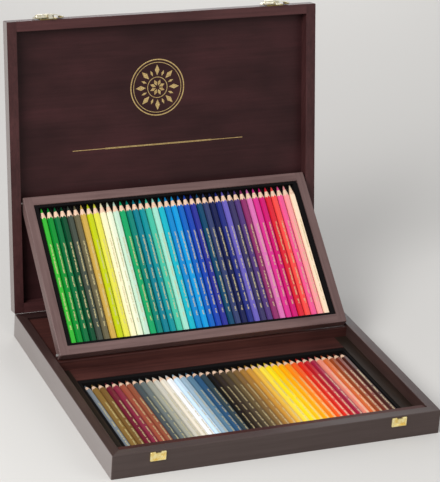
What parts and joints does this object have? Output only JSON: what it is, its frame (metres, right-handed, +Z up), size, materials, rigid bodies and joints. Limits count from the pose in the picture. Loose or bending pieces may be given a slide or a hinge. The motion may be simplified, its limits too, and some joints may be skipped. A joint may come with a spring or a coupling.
{
  "type": "pencil presentation box",
  "caption": "Wooden case of coloured pencils with a hinged lid; opening the lid lifts and tilts an upper tray of pencils above the bed of pencils in the base.",
  "frame": {"origin": "centre of the base's underside, on the surface it stands on", "axes": "+X to the right of a person facing the open case, +Y towards the hinges, +Z up"},
  "size_m": [0.39, 0.4313, 0.3771],
  "materials": {
    "base_wood": "stained reddish brown, satin lacquer",
    "lid_wood": "stained reddish brown, satin lacquer",
    "panel_wood": "dark mahogany stain, satin lacquer",
    "ledge_wood": "stained reddish brown, matt lacquer",
    "tray_wood": "stained brown, satin lacquer with a pale sheen",
    "insert_sheet": "black flocked sheet",
    "brass": "polished",
    "steel_pin": "polished",
    "pencils_green_yellow": "gloss lacquer, bare sharpened end",
    "pencils_teal_blue": "gloss lacquer, bare sharpened end",
    "pencils_blue_violet": "gloss lacquer, bare sharpened end",
    "pencils_violet_pink": "gloss lacquer, bare sharpened end",
    "pencils_grey_red": "gloss lacquer, bare sharpened end",
    "pencils_pale_grey": "gloss lacquer, bare sharpened end",
    "pencils_brown_yellow": "gloss lacquer, bare sharpened end",
    "pencils_orange_red": "gloss lacquer, bare sharpened end"
  },
  "bodies": {
    "base": {"base_front_wall": "base_wood", "base_back_wall": "base_wood", "base_left_wall": "base_wood", "base_right_wall": "base_wood", "base_bottom_panel": "panel_wood", "left_ledge": "ledge_wood", "right_ledge": "ledge_wood", "rear_ledge": "ledge_wood", "platform_riser": "ledge_wood", "platform_board": "ledge_wood", "platform_batten": "ledge_wood", "front_rest_batten": "ledge_wood", "lower_insert": "insert_sheet", "lower_pencils_1": "pencils_grey_red", "lower_pencils_2": "pencils_pale_grey", "lower_pencils_3": "pencils_brown_yellow", "lower_pencils_4": "pencils_orange_red", "keeper_left": "brass", "keeper_right": "brass", "hinge_base_leaf_left": "brass", "hinge_base_leaf_right": "brass", "hinge_pin_left": "steel_pin", "hinge_pin_right": "steel_pin"},
    "lid": {"lid_left_stile": "lid_wood", "lid_right_stile": "lid_wood", "lid_front_rail": "lid_wood", "lid_rear_rail": "lid_wood", "lid_panel": "panel_wood", "hinge_lid_leaf_left": "brass", "hinge_lid_leaf_right": "brass", "clasp_plate_left": "brass", "clasp_plate_right": "brass", "clasp_pin_left": "steel_pin", "clasp_pin_right": "steel_pin"},
    "tray": {"tray_left_stile": "tray_wood", "tray_right_stile": "tray_wood", "tray_upper_rail": "tray_wood", "tray_lower_rail": "tray_wood", "tray_bottom_panel": "panel_wood", "upper_insert": "insert_sheet", "upper_pencils_1": "pencils_green_yellow", "upper_pencils_2": "pencils_teal_blue", "upper_pencils_3": "pencils_blue_violet", "upper_pencils_4": "pencils_violet_pink", "tray_pivot_pins": "steel_pin", "tray_glide_pins": "steel_pin"},
    "clasp_left": {"clasp_lever_left": "brass"},
    "clasp_right": {"clasp_lever_right": "brass"}
  },
  "joints": [
    {"name": "lid_hinge", "type": "hinge", "parent": "base", "child": "lid", "pos_m": [0, 0.174, 0.02865], "axis": [1, 0, 0], "range_deg": [0, 100.8]},
    {"name": "tray_pivot", "type": "hinge", "parent": "lid", "child": "tray", "pos_m": [0, 0.20383, 0.15739], "axis": [1, 0, 0], "range_deg": [-140.3, 0]},
    {"name": "clasp_left_hinge", "type": "hinge", "parent": "lid", "child": "clasp_left", "pos_m": [-0.143, 0.24924, 0.37102], "axis": [1, 0, 0], "range_deg": [-60, 4]},
    {"name": "clasp_right_hinge", "type": "hinge", "parent": "lid", "child": "clasp_right", "pos_m": [0.143, 0.24924, 0.37102], "axis": [1, 0, 0], "range_deg": [-60, 4]}
  ],
  "couplings": [
    {"joint": "tray_pivot", "follows": "lid_hinge", "ratio": -1.3919}
  ]
}
